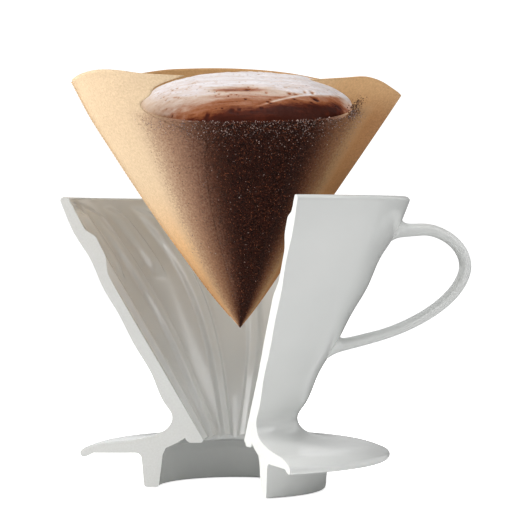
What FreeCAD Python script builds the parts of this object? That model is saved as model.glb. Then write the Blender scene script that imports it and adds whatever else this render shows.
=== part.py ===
import FreeCAD, Part
import math
import os

# A sectioned pour-over dripper with its paper filter lifted out of the cone, in millimetres.
# Origin: on the cone's axis, in the plane of the foot ring's lower face. +Z is up, the handle
# points along +X, and the front of the object, where a wedge is cut away, is -Y.

# ---- driving dimensions -------------------------------------------------------------------

# Section: the ceramic body is kept from the front cut round the back to the left cut.
FRONT_CUT_DEG = -70.0
LEFT_CUT_DEG = 180.0
KEPT_DEG = LEFT_CUT_DEG - FRONT_CUT_DEG

# Cone
CONE_HALF_ANGLE_DEG = 30.0
TAN_CONE = math.tan(math.radians(CONE_HALF_ANGLE_DEG))
SIN_CONE = math.sin(math.radians(CONE_HALF_ANGLE_DEG))
COS_CONE = math.cos(math.radians(CONE_HALF_ANGLE_DEG))
RIM_TOP_Z = 99.6
RIM_EDGE_Z = 98.3
RIM_OUTER_R = 59.8

# Inside of the cone between its ribs, from the outlet up to the rim: (radius, height)
INNER_WALL = [
    (10.9, 16.3),
    (28.7, 47.0),
    (45.6, 77.0),
    (52.0, 89.5),
    (56.7, 98.3),
]

# Outside of the cone, from the rim down to the waist above the saucer: (radius, height)
OUTER_WALL = [
    (59.8, 98.3),
    (57.9, 93.4),
    (54.8, 86.6),
    (49.6, 78.3),
    (45.6, 69.1),
    (40.1, 59.7),
    (34.4, 48.6),
    (28.4, 38.4),
    (23.9, 28.4),
    (21.5, 24.0),
]
# Top of the saucer, from the waist out to its rounded edge: (radius, height)
SAUCER_TOP = [
    (21.5, 24.0),
    (22.5, 21.0),
    (25.2, 18.8),
    (29.5, 17.3),
    (39.9, 15.6),
    (48.0, 14.5),
    (52.2, 13.0),
]
SAUCER_EDGE = [(52.2, 13.0), (53.1, 11.6), (52.1, 10.4)]
SAUCER_UNDERSIDE_Z = 11.7
SAUCER_DRIP_R = 50.9
SAUCER_FLAT_OUTER_R = 48.6

# Foot ring that drops into a server's mouth
FOOT_FILLET_R = 2.2
FOOT_OUTER_TOP_R = 32.0
FOOT_OUTER_BOTTOM_R = 31.2
FOOT_INNER_BOTTOM_R = 26.0
FOOT_INNER_TOP_R = 24.8
FOOT_INNER_TOP_Z = 11.0
FOOT_EDGE_R = 0.9
FOOT_TOP_Z = 9.0

# Web under the cone and the notch that makes the outlet lip drip cleanly
WEB = [(23.7, 13.4), (20.0, 15.1), (17.1, 16.9)]
LIP_BOTTOM_Z = 15.2
LIP_OUTER_R = 15.4
LIP_FACE_R = 12.0
NOTCH_R = 17.1
SAUCER_HOLE_R = 24.0

# Spiral ribs on the inside of the cone
LONG_RIBS = 12
RIB_PITCH_DEG = 360.0 / LONG_RIBS
RIB_PHASE_DEG = 15.5
RIB_TWIST_DEG = 26.0
RIB_TWIST_START_Z = 25.0
RIB_TWIST_SPAN_Z = 72.0
RIB_TWIST_POWER = 2.4
RIB_HEIGHT_TOP = 2.4
RIB_HEIGHT_BOTTOM = 1.4
RIB_HALF_WIDTH_TOP = 3.1
RIB_HALF_WIDTH_BOTTOM = 1.6
RIB_ROOT_DEPTH = 0.7
RIB_END_TAPER = 6.0
RIB_TOP_Z = 97.0
SHORT_RIB_END_Z = 70.0
RIB_STATION_STEP = 6.0

# Handle: a strap in the XZ plane, as (x, z, thickness), from the upper root to the lower one
HANDLE_WIDTH = 13.0
HANDLE_LINE = [
    (61.5, 88.2, 4.3),
    (65.6, 88.3, 4.1),
    (70.4, 87.0, 3.9),
    (75.1, 83.9, 3.8),
    (78.2, 79.4, 3.8),
    (78.9, 75.4, 3.8),
    (77.9, 71.6, 3.8),
    (74.6, 66.5, 3.8),
    (68.4, 61.0, 3.7),
    (60.0, 56.1, 3.6),
    (51.3, 52.6, 3.6),
    (44.5, 50.7, 3.8),
]
UPPER_ROOT = [(57.0, 88.0), (51.5, 88.0)]
LOWER_ROOT = [(38.6, 49.2), (31.0, 47.2)]
ROOT_FLARE = [1.35, 1.9]
STRAP_ROUNDNESS = 0.38

# Paper filter: a cone of folded paper, held above its seat
PAPER_APEX_Z = 54.6
PAPER_SLANT = 105.0
PAPER_THICKNESS = 0.4
WINDOW_START_DEG = -112.0
WINDOW_END_DEG = -28.0
WINDOW_TIP_HEIGHT = 9.0
SEAM_DEG = 180.0
SEAM_HALF_DEG = 2.8
SEAM_THICKNESS = 0.4
SEAM_TIP_SLANT = 6.0

# Coffee in the filter
BED_EDGE_HEIGHT = 70.0
BED_SHOULDER_R = 36.0
BED_SHOULDER_HEIGHT = 72.4
BLOOM_HEIGHT = 14.6


# ---- helpers ------------------------------------------------------------------------------

def point(r, z, angle_deg=0.0):
    """A point at radius r and height z, turned about the axis."""
    a = math.radians(angle_deg)
    return FreeCAD.Vector(r * math.cos(a), r * math.sin(a), z)


def lines(corners):
    """Straight edges through (radius, height) corners in the XZ plane."""
    return [
        Part.LineSegment(point(*a), point(*b)).toShape()
        for a, b in zip(corners, corners[1:])
    ]


def curve(corners):
    """One smooth edge through (radius, height) corners in the XZ plane."""
    spline = Part.BSplineCurve()
    spline.interpolate([point(*c) for c in corners])
    return spline.toShape()


def arc(a, b, c):
    """A circular edge from a through b to c in the XZ plane."""
    return Part.Arc(point(*a), point(*b), point(*c)).toShape()


def rectangle(r0, r1, z0, z1):
    """A flat face in the XZ plane."""
    corners = [(r0, z0), (r1, z0), (r1, z1), (r0, z1), (r0, z0)]
    return Part.Face(Part.Wire(lines(corners)))


def turned(face, start_deg, sweep_deg):
    """A face in the XZ plane, revolved about the axis."""
    axis = FreeCAD.Vector(0, 0, 1)
    centre = FreeCAD.Vector(0, 0, 0)
    placed = face.copy()
    placed.rotate(centre, axis, start_deg)
    return placed.revolve(centre, axis, sweep_deg)


def solids_of(shape):
    """The shape's solids as one shape, each of them valid."""
    solids = shape.Solids
    for solid in solids:
        if not solid.isValid() or solid.Volume <= 0:
            raise ValueError("a solid is not valid")
    return solids[0] if len(solids) == 1 else Part.makeCompound(solids)


def save(name, shape):
    """Writes one node's STEP file and prints its facts."""
    kept = solids_of(shape)
    kept.exportStep("parts/" + name + ".step")
    print(name, len(kept.Solids), "solids", round(kept.Volume, 1), "mm3")


# ---- ceramic body -------------------------------------------------------------------------

def body_section():
    """The whole cut face of the ceramic body: cone, saucer, foot ring and outlet lip."""
    rim_inner = INNER_WALL[-1]
    fillet_z = SAUCER_UNDERSIDE_Z - FOOT_FILLET_R
    fillet_mid = FOOT_FILLET_R * (1 - math.sqrt(0.5))
    edge_mid = FOOT_EDGE_R * (1 - math.sqrt(0.5))
    rim = arc(
        rim_inner,
        ((rim_inner[0] + RIM_OUTER_R) / 2, RIM_TOP_Z),
        (RIM_OUTER_R, RIM_EDGE_Z),
    )
    fillet_outer_r = FOOT_OUTER_TOP_R + FOOT_FILLET_R
    outline = [rim, curve(OUTER_WALL), curve(SAUCER_TOP), arc(*SAUCER_EDGE)]
    outline += [
        arc(
            SAUCER_EDGE[-1],
            (SAUCER_DRIP_R - 0.3, 10.7),
            (SAUCER_FLAT_OUTER_R, SAUCER_UNDERSIDE_Z),
        )
    ]
    outline += lines(
        [(SAUCER_FLAT_OUTER_R, SAUCER_UNDERSIDE_Z), (fillet_outer_r, SAUCER_UNDERSIDE_Z)]
    )
    outline += [
        arc(
            (fillet_outer_r, SAUCER_UNDERSIDE_Z),
            (FOOT_OUTER_TOP_R + fillet_mid, SAUCER_UNDERSIDE_Z - fillet_mid),
            (FOOT_OUTER_TOP_R, fillet_z),
        )
    ]
    outline += lines([(FOOT_OUTER_TOP_R, fillet_z), (FOOT_OUTER_BOTTOM_R, FOOT_EDGE_R)])
    outline += [
        arc(
            (FOOT_OUTER_BOTTOM_R, FOOT_EDGE_R),
            (FOOT_OUTER_BOTTOM_R - edge_mid, edge_mid),
            (FOOT_OUTER_BOTTOM_R - FOOT_EDGE_R, 0.0),
        )
    ]
    outline += lines(
        [
            (FOOT_OUTER_BOTTOM_R - FOOT_EDGE_R, 0.0),
            (FOOT_INNER_BOTTOM_R + FOOT_EDGE_R, 0.0),
        ]
    )
    outline += [
        arc(
            (FOOT_INNER_BOTTOM_R + FOOT_EDGE_R, 0.0),
            (FOOT_INNER_BOTTOM_R + edge_mid, edge_mid),
            (FOOT_INNER_BOTTOM_R, FOOT_EDGE_R),
        )
    ]
    outline += lines(
        [(FOOT_INNER_BOTTOM_R, FOOT_EDGE_R), (FOOT_INNER_TOP_R, FOOT_INNER_TOP_Z)] + WEB
    )
    outline += [
        arc(WEB[-1], (16.6, 16.0), (LIP_OUTER_R, LIP_BOTTOM_Z)),
        *lines([(LIP_OUTER_R, LIP_BOTTOM_Z), (LIP_FACE_R, LIP_BOTTOM_Z)]),
        arc((LIP_FACE_R, LIP_BOTTOM_Z), (11.2, 15.5), INNER_WALL[0]),
    ]
    outline += lines(INNER_WALL)
    wire = Part.Wire(Part.__sortEdges__(outline))
    return Part.Face(wire)


def body_pieces():
    """The cut face divided into the pieces that are luted together, each one revolved."""
    section = body_section()
    lip_cut_z = WEB[-1][1]
    lip = section.common(rectangle(0, NOTCH_R, LIP_BOTTOM_Z - 1, lip_cut_z))
    foot = section.common(rectangle(0, 60, -1, FOOT_TOP_Z))
    saucer = section.common(rectangle(SAUCER_HOLE_R, 60, FOOT_TOP_Z, OUTER_WALL[-1][1]))
    cone = section.cut(lip).cut(foot).cut(saucer)
    faces = {
        "outlet_lip": lip,
        "foot_ring": foot,
        "saucer_plate": saucer,
        "cone_wall": cone,
    }
    return {
        name: turned(face.Faces[0], FRONT_CUT_DEG, KEPT_DEG)
        for name, face in faces.items()
    }


# ---- spiral ribs --------------------------------------------------------------------------

def rib_turn(z):
    """How far, in degrees, a rib has swept round the cone by height z."""
    share = max(0.0, (z - RIB_TWIST_START_Z) / RIB_TWIST_SPAN_Z)
    return RIB_TWIST_DEG * share ** RIB_TWIST_POWER


def wall_radius(z):
    """Radius of the cone's inside at height z."""
    below = INNER_WALL[0]
    for above in INNER_WALL[1:]:
        if z <= above[1]:
            break
        below = above
    share = (z - below[1]) / (above[1] - below[1])
    return below[0] + (above[0] - below[0]) * share


def rib_height(z, bottom_z, fades_out):
    """Height of the rib's crest above the wall; it dives under the wall at a faded end."""
    share = z / RIB_TOP_Z
    full = RIB_HEIGHT_BOTTOM + (RIB_HEIGHT_TOP - RIB_HEIGHT_BOTTOM) * share
    ends = [RIB_TOP_Z - z]
    if fades_out:
        ends.append(z - bottom_z)
    nearest = min(1.0, max(0.0, min(ends) / RIB_END_TAPER))
    rise = 1 - (1 - nearest) ** 2
    return (full + RIB_ROOT_DEPTH / 2) * rise - RIB_ROOT_DEPTH / 2


def rib_section(z, start_deg, bottom_z, fades_out):
    """The rib's closed outline at height z, square to its path and rooted in the wall."""
    angle = start_deg + rib_turn(z)
    here = point(wall_radius(z), z, angle)
    step = 0.2
    after = point(wall_radius(z + step), z + step, start_deg + rib_turn(z + step))
    along = (after - here).normalize()
    a = math.radians(angle)
    inward = FreeCAD.Vector(
        -COS_CONE * math.cos(a), -COS_CONE * math.sin(a), SIN_CONE
    )
    across = along.cross(inward).normalize()
    inward = across.cross(along).normalize()
    share = z / RIB_TOP_Z
    half = RIB_HALF_WIDTH_BOTTOM + (RIB_HALF_WIDTH_TOP - RIB_HALF_WIDTH_BOTTOM) * share
    crest = rib_height(z, bottom_z, fades_out)
    root = -RIB_ROOT_DEPTH
    shape = [(-1.25, root), (-0.62, 0.62 * crest), (0, crest), (0.62, 0.62 * crest), (1.25, root)]
    points = [here + across * (half * x) + inward * y for x, y in shape]
    crown = Part.BSplineCurve()
    crown.interpolate(points)
    base = Part.LineSegment(points[-1], points[0])
    return Part.Wire([crown.toShape(), base.toShape()])


def rib(start_deg, bottom_z, fades_out):
    """One rib before it is trimmed to the inside of the cone."""
    count = math.ceil((RIB_TOP_Z - bottom_z) / RIB_STATION_STEP)
    heights = [bottom_z + (RIB_TOP_Z - bottom_z) * i / count for i in range(count + 1)]
    sections = [rib_section(z, start_deg, bottom_z, fades_out) for z in heights]
    return Part.makeLoft(sections, True, False)


def rib_set(offset_deg, bottom_z, fades_out):
    """A ring of equal ribs, trimmed to the kept part of the cone's inside."""
    axis = [(0, INNER_WALL[-1][1]), (0, INNER_WALL[0][1])]
    inside = Part.Face(Part.Wire(lines(INNER_WALL + axis + INNER_WALL[:1])))
    room = turned(inside, FRONT_CUT_DEG, KEPT_DEG)
    kept = []
    for i in range(LONG_RIBS):
        start_deg = RIB_PHASE_DEG + offset_deg + i * RIB_PITCH_DEG
        kept += rib(start_deg, bottom_z, fades_out).common(room).Solids
    return Part.makeCompound(kept)


# ---- handle -------------------------------------------------------------------------------

def strap_section(x, z, direction, thickness, width):
    """A rounded strap outline at (x, z), square to a direction in the XZ plane."""
    normal = FreeCAD.Vector(-direction.z, 0, direction.x)
    side = FreeCAD.Vector(0, 1, 0)
    centre = FreeCAD.Vector(x, 0, z)
    points = []
    for i in range(16):
        a = 2 * math.pi * i / 16
        c, s = math.cos(a), math.sin(a)
        across = math.copysign(abs(c) ** (2 * STRAP_ROUNDNESS), c) * width / 2
        up = math.copysign(abs(s) ** (2 * STRAP_ROUNDNESS), s) * thickness / 2
        points.append(centre + side * across + normal * up)
    outline = Part.BSplineCurve()
    outline.interpolate(points, PeriodicFlag=True)
    return Part.Wire(outline.toShape())


def heading(a, b):
    """Unit direction from (x, z) point a to b."""
    return FreeCAD.Vector(b[0] - a[0], 0, b[1] - a[1]).normalize()


def handle_pieces(cone_outside):
    """The strap and the two flared roots that join it to the cone."""
    sections = []
    last = len(HANDLE_LINE) - 1
    for i, (x, z, thickness) in enumerate(HANDLE_LINE):
        before = HANDLE_LINE[max(0, i - 1)]
        after = HANDLE_LINE[min(last, i + 1)]
        sections.append(
            strap_section(x, z, heading(before, after), thickness, HANDLE_WIDTH)
        )
    pieces = {"handle_strap": Part.makeLoft(sections, True, False)}
    roots = {
        "handle_upper_root": (sections[0], HANDLE_LINE[0], UPPER_ROOT),
        "handle_lower_root": (sections[-1], HANDLE_LINE[-1], LOWER_ROOT),
    }
    for name, (end_section, end, route) in roots.items():
        wires = [end_section]
        inward = heading(end, route[0])
        if name == "handle_lower_root":
            facing = inward
        else:
            facing = inward * -1
        for (x, z), flare in zip(route, ROOT_FLARE):
            wide = HANDLE_WIDTH * (1 + (flare - 1) / 2)
            wires.append(strap_section(x, z, facing, end[2] * flare, wide))
        root = Part.makeLoft(wires, True, False)
        pieces[name] = root.cut(cone_outside)
    return pieces


def cone_outside():
    """The cone's outer form as one solid block, for trimming the handle to its surface."""
    bottom_r, bottom_z = OUTER_WALL[-1]
    top_r, top_z = OUTER_WALL[0]
    outline = [curve(OUTER_WALL)]
    outline += lines([(bottom_r, bottom_z), (0, bottom_z), (0, top_z), (top_r, top_z)])
    face = Part.Face(Part.Wire(Part.__sortEdges__(outline)))
    return turned(face, 0, 360)


# ---- paper filter and coffee --------------------------------------------------------------

def paper_cone():
    """The paper as a thin cone with a window in its front, through which the coffee shows."""
    top_r = PAPER_SLANT * SIN_CONE
    top_z = PAPER_APEX_Z + PAPER_SLANT * COS_CONE
    inner_apex_z = PAPER_APEX_Z + PAPER_THICKNESS / SIN_CONE
    inner_top_r = (top_z - inner_apex_z) * TAN_CONE
    outline = [
        (0, PAPER_APEX_Z),
        (top_r, top_z),
        (inner_top_r, top_z),
        (0, inner_apex_z),
        (0, PAPER_APEX_Z),
    ]
    cone = turned(Part.Face(Part.Wire(lines(outline))), SEAM_DEG, 360)
    window = turned(
        rectangle(0.5, top_r + 5, PAPER_APEX_Z + WINDOW_TIP_HEIGHT, top_z + 5),
        WINDOW_START_DEG,
        WINDOW_END_DEG - WINDOW_START_DEG,
    )
    return cone.cut(window)


def paper_seam():
    """The crimped double edge, folded flat on the outside of the paper."""
    thickness = SEAM_THICKNESS / SIN_CONE
    outline = []
    for slant, drop in (
        (SEAM_TIP_SLANT, 0),
        (PAPER_SLANT, 0),
        (PAPER_SLANT, thickness),
        (SEAM_TIP_SLANT, thickness),
        (SEAM_TIP_SLANT, 0),
    ):
        outline.append((slant * SIN_CONE, PAPER_APEX_Z + slant * COS_CONE - drop))
    face = Part.Face(Part.Wire(lines(outline)))
    return turned(face, SEAM_DEG - SEAM_HALF_DEG, 2 * SEAM_HALF_DEG)


def coffee_pieces():
    """The bed of wet grounds that fills the paper, and the swollen crust on top of it."""
    inner_apex_z = PAPER_APEX_Z + PAPER_THICKNESS / SIN_CONE
    edge_z = PAPER_APEX_Z + BED_EDGE_HEIGHT
    shoulder_z = PAPER_APEX_Z + BED_SHOULDER_HEIGHT
    bed_outline = [
        (0, inner_apex_z),
        ((edge_z - inner_apex_z) * TAN_CONE, edge_z),
        (BED_SHOULDER_R, shoulder_z),
        (0, shoulder_z),
        (0, inner_apex_z),
    ]
    bed = turned(Part.Face(Part.Wire(lines(bed_outline))), 0, 360)
    top = shoulder_z + BLOOM_HEIGHT
    ball_r = (BED_SHOULDER_R ** 2 + BLOOM_HEIGHT ** 2) / (2 * BLOOM_HEIGHT)
    half_turn = math.asin(BED_SHOULDER_R / ball_r) / 2
    halfway = (ball_r * math.sin(half_turn), top - ball_r * (1 - math.cos(half_turn)))
    outline = [arc((BED_SHOULDER_R, shoulder_z), halfway, (0, top))]
    outline += lines([(0, top), (0, shoulder_z), (BED_SHOULDER_R, shoulder_z)])
    crust = turned(Part.Face(Part.Wire(outline)), 0, 360)
    return {"coffee_bed": bed, "bloom_crust": crust}


def main():
    os.makedirs("parts", exist_ok=True)
    pieces = body_pieces()
    pieces["long_ribs"] = rib_set(0.0, INNER_WALL[0][1] - 2.0, False)
    pieces["short_ribs"] = rib_set(RIB_PITCH_DEG / 2, SHORT_RIB_END_Z, True)
    pieces.update(handle_pieces(cone_outside()))
    pieces["filter_paper"] = paper_cone()
    pieces["filter_seam"] = paper_seam()
    pieces.update(coffee_pieces())
    for name, shape in pieces.items():
        save(name, shape)


main()
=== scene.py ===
"""The looks of the sectioned pour-over dripper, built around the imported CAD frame."""

import bmesh
import bpy
import math
import numpy as np
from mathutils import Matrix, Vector, noise


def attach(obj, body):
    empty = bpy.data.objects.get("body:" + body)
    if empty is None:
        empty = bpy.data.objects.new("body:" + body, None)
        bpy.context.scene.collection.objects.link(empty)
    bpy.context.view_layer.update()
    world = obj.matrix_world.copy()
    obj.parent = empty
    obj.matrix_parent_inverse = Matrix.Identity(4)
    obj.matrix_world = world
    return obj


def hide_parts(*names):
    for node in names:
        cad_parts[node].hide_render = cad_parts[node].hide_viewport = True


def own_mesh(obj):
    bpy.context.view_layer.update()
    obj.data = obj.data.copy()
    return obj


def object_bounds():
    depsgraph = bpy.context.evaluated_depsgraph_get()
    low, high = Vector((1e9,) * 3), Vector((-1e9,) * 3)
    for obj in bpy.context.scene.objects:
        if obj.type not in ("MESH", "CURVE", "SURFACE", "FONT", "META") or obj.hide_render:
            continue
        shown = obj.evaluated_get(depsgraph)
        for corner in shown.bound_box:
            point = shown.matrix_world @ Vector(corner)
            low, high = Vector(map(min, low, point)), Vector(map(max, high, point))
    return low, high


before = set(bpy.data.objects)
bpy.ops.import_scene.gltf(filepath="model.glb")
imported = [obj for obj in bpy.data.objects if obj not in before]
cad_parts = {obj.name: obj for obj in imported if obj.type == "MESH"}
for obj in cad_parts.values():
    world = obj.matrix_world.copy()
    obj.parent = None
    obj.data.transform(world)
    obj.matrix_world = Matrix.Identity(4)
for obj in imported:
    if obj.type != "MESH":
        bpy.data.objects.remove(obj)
CAD_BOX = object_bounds()

MM = 0.001  # every size below is in millimetres and becomes metres here

# ---- driving dimensions, the same as the CAD part's ----------------------------------------

FRONT_CUT_DEG = -70.0
LEFT_CUT_DEG = 180.0

INNER_WALL = [(10.9, 16.3), (28.7, 47.0), (45.6, 77.0), (52.0, 89.5), (56.7, 98.3)]
RIM_TOP_Z = 99.6
OUTER_WALL = [
    (59.8, 98.3), (57.9, 93.4), (54.8, 86.6), (49.6, 78.3), (45.6, 69.1),
    (40.1, 59.7), (34.4, 48.6), (28.4, 38.4), (23.9, 28.4), (21.5, 24.0),
]
SAUCER_TOP = [(22.5, 21.0), (25.2, 18.8), (29.5, 17.3), (39.9, 15.6), (48.0, 14.5), (52.2, 13.0)]
SAUCER_EDGE = [(52.2, 13.0), (53.1, 11.6), (52.1, 10.4)]
SAUCER_DRIP = [(52.1, 10.4), (50.6, 10.7), (48.6, 11.7)]
SAUCER_HOLE_R = 24.0
UNDERSIDE_Z = 11.7
FOOT_FILLET_R = 2.2
FOOT_TOP_Z = 9.0
FOOT_OUTER = [(32.0, 9.5), (31.2, 0.9)]
FOOT_INNER = [(26.0, 0.9), (24.8, 11.0)]
FOOT_EDGE_R = 0.9
WEB = [(24.8, 11.0), (23.7, 13.4), (20.0, 15.1), (17.1, 16.9)]
NOTCH = [(17.1, 16.9), (16.6, 16.0), (15.4, 15.2)]
LIP = [(12.0, 15.2), (11.2, 15.5), (10.9, 16.3)]

LONG_RIBS = 12
RIB_PITCH_DEG = 360.0 / LONG_RIBS
RIB_PHASE_DEG = 15.5
RIB_TWIST_DEG = 26.0
RIB_TWIST_START_Z = 25.0
RIB_TWIST_SPAN_Z = 72.0
RIB_TWIST_POWER = 2.4
RIB_HEIGHTS = (1.4, 2.4)
RIB_HALF_WIDTHS = (2.1, 4.2)
RIB_TOP_Z = 97.0
SHORT_RIB_END_Z = 70.0
RIB_END_TAPER = 6.0
CONE_HALF_ANGLE = math.radians(30.0)
MERIDIAN_STEP_DEG = {"cone": 0.6, "saucer": 1.25, "foot_ring_body": 1.25}

HANDLE_WIDTH = 13.0
HANDLE_LINE = [
    (53.2, 87.9, 4.4), (57.0, 88.0, 4.4), (61.5, 88.2, 4.3), (65.6, 88.3, 4.1), (70.4, 87.0, 3.9),
    (75.1, 83.9, 3.8), (78.2, 79.4, 3.8), (78.9, 75.4, 3.8), (77.9, 71.6, 3.8), (74.6, 66.5, 3.8),
    (68.4, 61.0, 3.7), (60.0, 56.1, 3.6), (51.3, 52.6, 3.6), (44.5, 50.7, 3.8), (38.6, 49.2, 3.9),
    (32.6, 47.6, 3.9), (30.8, 47.0, 3.9),
]
HANDLE_LOOP_POINTS = 44
ROOT_FLARE = 1.9
ROOT_FLARE_REACH = 1.1
WALL_NORMAL = np.array([math.cos(CONE_HALF_ANGLE), 0, -math.sin(CONE_HALF_ANGLE)])

# The paper filter: a 60 degree cone of paper, opened wider between its two creases than it is deep
PAPER_APEX = (1.8, 0.0, 54.6)
PAPER_LEFT_DEG = 33.6
PAPER_RIGHT_DEG = 34.5
PAPER_DEPTH_DEG = 28.6
PAPER_ROUNDING = 1.18  # 1 is an oval; more draws its front and back in towards the creases
# How far the creases bow out of a straight cone, as (height above the tip, left, right)
CREASE_BULGE = [
    (0, 0, 0), (4, 0.7, 0.5), (23, 2.4, 0.8), (36, 3.1, 0.8),
    (62, 3.1, 0.8), (72, 2.8, 0.7), (84, 1.2, 0.4),
]
PAPER_THICKNESS = 0.4
PAPER_ROWS = 96
WINDOW_COLUMNS = 60
OTHER_COLUMNS = 300
WINDOW_TIP_Z = 63.6
RIM_MIDDLE_Z = 138.0
# Height of the paper's rim from its left crease, at -1, to its right one, at +1
FRONT_RIM = [
    (-1.0, 139.3), (-0.9, 140.5), (-0.8, 140.9), (-0.7, 140.3), (-0.58, 139.0), (-0.4, 138.0),
    (0.0, 137.2), (0.45, 136.8), (0.6, 137.6), (0.73, 138.3), (0.82, 137.4), (0.92, 135.5), (1.0, 134.0),
]
BACK_RIM = [
    (-1.0, 139.3), (-0.8, 142.0), (-0.6, 144.5), (-0.45, 146.2), (-0.3, 146.9), (0.0, 147.0),
    (0.15, 146.3), (0.3, 145.0), (0.45, 143.0), (0.7, 139.8), (1.0, 134.0),
]
# Edges of the window in the paper's front, as (z, left edge, right edge) in degrees from the front
WINDOW_EDGES = [
    (63.6, -14, 14), (75, -19, 22), (95, -20, 25), (112, -17, 27), (119, -17, 30), (123, -32, 41),
    (126, -40, 46.5), (128.5, -39.5, 47), (131.3, -34, 42.5), (133.6, -31.5, 37.5), (135.5, -27, 32.5),
    (137, -22, 27.5), (138.5, -17, 22), (150, -14, 20),
]
# Where the dark coffee fades out behind the paper: (z, none left, full left, full right, none right)
# Far out on the right near the bed's top, the fade also darkens the paper below the foam's right end as a
# painted shadow.
FADE_EDGES = [
    (54.6, -80, 6, 32, 80), (75, -70, 4, 29, 68), (98, -60, 0, 28, 63), (118, -54, -2, 28, 62),
    (150, -52, -2, 28, 62),
]

# Coffee: the bed's top and the foam on it lean towards the front
BED_Z = 130.2
BED_LEAN = 0.2
FOAM_CENTRE = (4.2, 0.3)
FOAM_RADII = (36.6, 36.2)
FOAM_RISE = 10.6
# Across the foam from -1 to +1: the level where red-brown turns to cream and painted sheen, and how softly
# below and above
FOAM_TURNING = [
    (-1.0, 0.05, 0.35, 0.6), (-0.8, 0.12, 0.35, 0.5), (-0.53, 0.27, 0.35, 0.38), (-0.38, 0.36, 0.35, 0.3),
    (-0.24, 0.46, 0.35, 0.25), (0.05, 0.49, 0.29, 0.22), (0.34, 0.53, 0.23, 0.12), (0.6, 0.53, 0.2, 0.07),
    (1.0, 0.53, 0.2, 0.07),
]
FOAM_ROUNDING = 2.2  # 2 is an oval; more makes it squarer
GRAINS = 9000
CRUMBS = 240
# The larger bubbles broken open on the foam, as (x, y, radius)
FOAM_BUBBLES = [
    (27, -21.8, 1.5), (26, -18.5, 0.9), (23.5, -19.5, 0.7), (34.5, -8.5, 1.0), (20.5, -22.3, 0.9),
    (18.4, -22.3, 0.8), (17.2, -17.5, 0.8), (-0.6, -33.5, 0.8), (4.7, -20.8, 1.0), (12, -30, 0.6),
]


# ---- curves ---------------------------------------------------------------------------------

def spline(points, step):
    """A smooth curve through the points, sampled about every step."""
    p = np.array(points, float)
    t = np.concatenate([[0], np.cumsum(np.linalg.norm(np.diff(p[:, :2], axis=0), axis=1))])
    n = len(p)
    h = np.diff(t)
    system = np.eye(n)
    rhs = np.zeros((n, p.shape[1]))
    for i in range(1, n - 1):
        system[i, i - 1 : i + 2] = h[i - 1], 2 * (h[i - 1] + h[i]), h[i]
        rhs[i] = 6 * ((p[i + 1] - p[i]) / h[i] - (p[i] - p[i - 1]) / h[i - 1])
    bend = np.linalg.solve(system, rhs)
    count = max(2, int(round(t[-1] / step)) + 1)
    at = np.linspace(0, t[-1], count)
    k = np.clip(np.searchsorted(t, at, side="right") - 1, 0, n - 2)
    a = ((t[k + 1] - at) / h[k])[:, None]
    b = 1 - a
    scale = (h[k] ** 2)[:, None] / 6
    return a * p[k] + b * p[k + 1] + scale * ((a ** 3 - a) * bend[k] + (b ** 3 - b) * bend[k + 1])


def line(a, b, step):
    """Points from a to b about every step."""
    a, b = np.array(a, float), np.array(b, float)
    count = max(2, int(round(np.linalg.norm(b - a) / step)) + 1)
    return a + (b - a) * np.linspace(0, 1, count)[:, None]


def polyline(points, step):
    """Straight runs through the points."""
    return join(*[line(a, b, step) for a, b in zip(points, points[1:])])


def arc(a, b, c, step):
    """Points on the circular arc from a through b to c."""
    a, b, c = (np.array(p, float) for p in (a, b, c))
    system = 2 * np.array([b - a, c - a])
    centre = np.linalg.solve(system, [b @ b - a @ a, c @ c - a @ a])
    start, middle, end = (math.atan2(*(p - centre)[::-1]) for p in (a, b, c))
    sweep = (end - start) % (2 * math.pi)
    if (middle - start) % (2 * math.pi) > sweep:
        sweep -= 2 * math.pi
    r = np.linalg.norm(a - centre)
    count = max(4, int(round(abs(sweep) * r / step)) + 1)
    turn = start + sweep * np.linspace(0, 1, count)
    return centre + r * np.stack([np.cos(turn), np.sin(turn)], axis=1)


def join(*runs):
    """Runs end to end, without the points that they share."""
    points = [runs[0]]
    for run in runs[1:]:
        points.append(run[1:] if np.linalg.norm(points[-1][-1] - run[0]) < 1e-6 else run)
    return np.concatenate(points)


def split_at(run, axis, value):
    """A run of points cut in two where its coordinate on that axis crosses the value."""
    side = run[:, axis] - value
    i = int(np.argmax(side[:-1] * side[1:] <= 0))
    share = side[i] / (side[i] - side[i + 1])
    cut = run[i] + (run[i + 1] - run[i]) * share
    near = [run[i] + (run[i + 1] - run[i]) * share * 0.9]
    far = [run[i] + (run[i + 1] - run[i]) * (share + (1 - share) * 0.1)]
    return np.vstack([run[: i + 1], near, [cut]]), np.vstack([[cut], far, run[i + 1 :]])


def table(at, rows, column):
    """A smooth reading of a table's column at the given places in its first column."""
    rows = np.array(rows, float)
    x = rows[:, 0]
    k = np.clip(np.searchsorted(x, at, side="right") - 1, 0, len(x) - 2)
    share = np.clip((at - x[k]) / (x[k + 1] - x[k]), 0, 1)
    y = rows[:, column]
    slope = np.gradient(y, x)
    h = x[k + 1] - x[k]
    s2, s3 = share ** 2, share ** 3
    return (
        (2 * s3 - 3 * s2 + 1) * y[k] + (s3 - 2 * s2 + share) * h * slope[k]
        + (3 * s2 - 2 * s3) * y[k + 1] + (s3 - s2) * h * slope[k + 1]
    )


def smooth(x, low, high):
    """0 below low, 1 above high, and a smooth step between."""
    t = np.clip((x - low) / (high - low), 0, 1)
    return t * t * (3 - 2 * t)


def powered(x, power):
    """x with its size, but not its sign, raised to a power: this squares or pinches an oval."""
    return np.sign(x) * np.abs(x) ** power


# ---- meshes ---------------------------------------------------------------------------------

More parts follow.
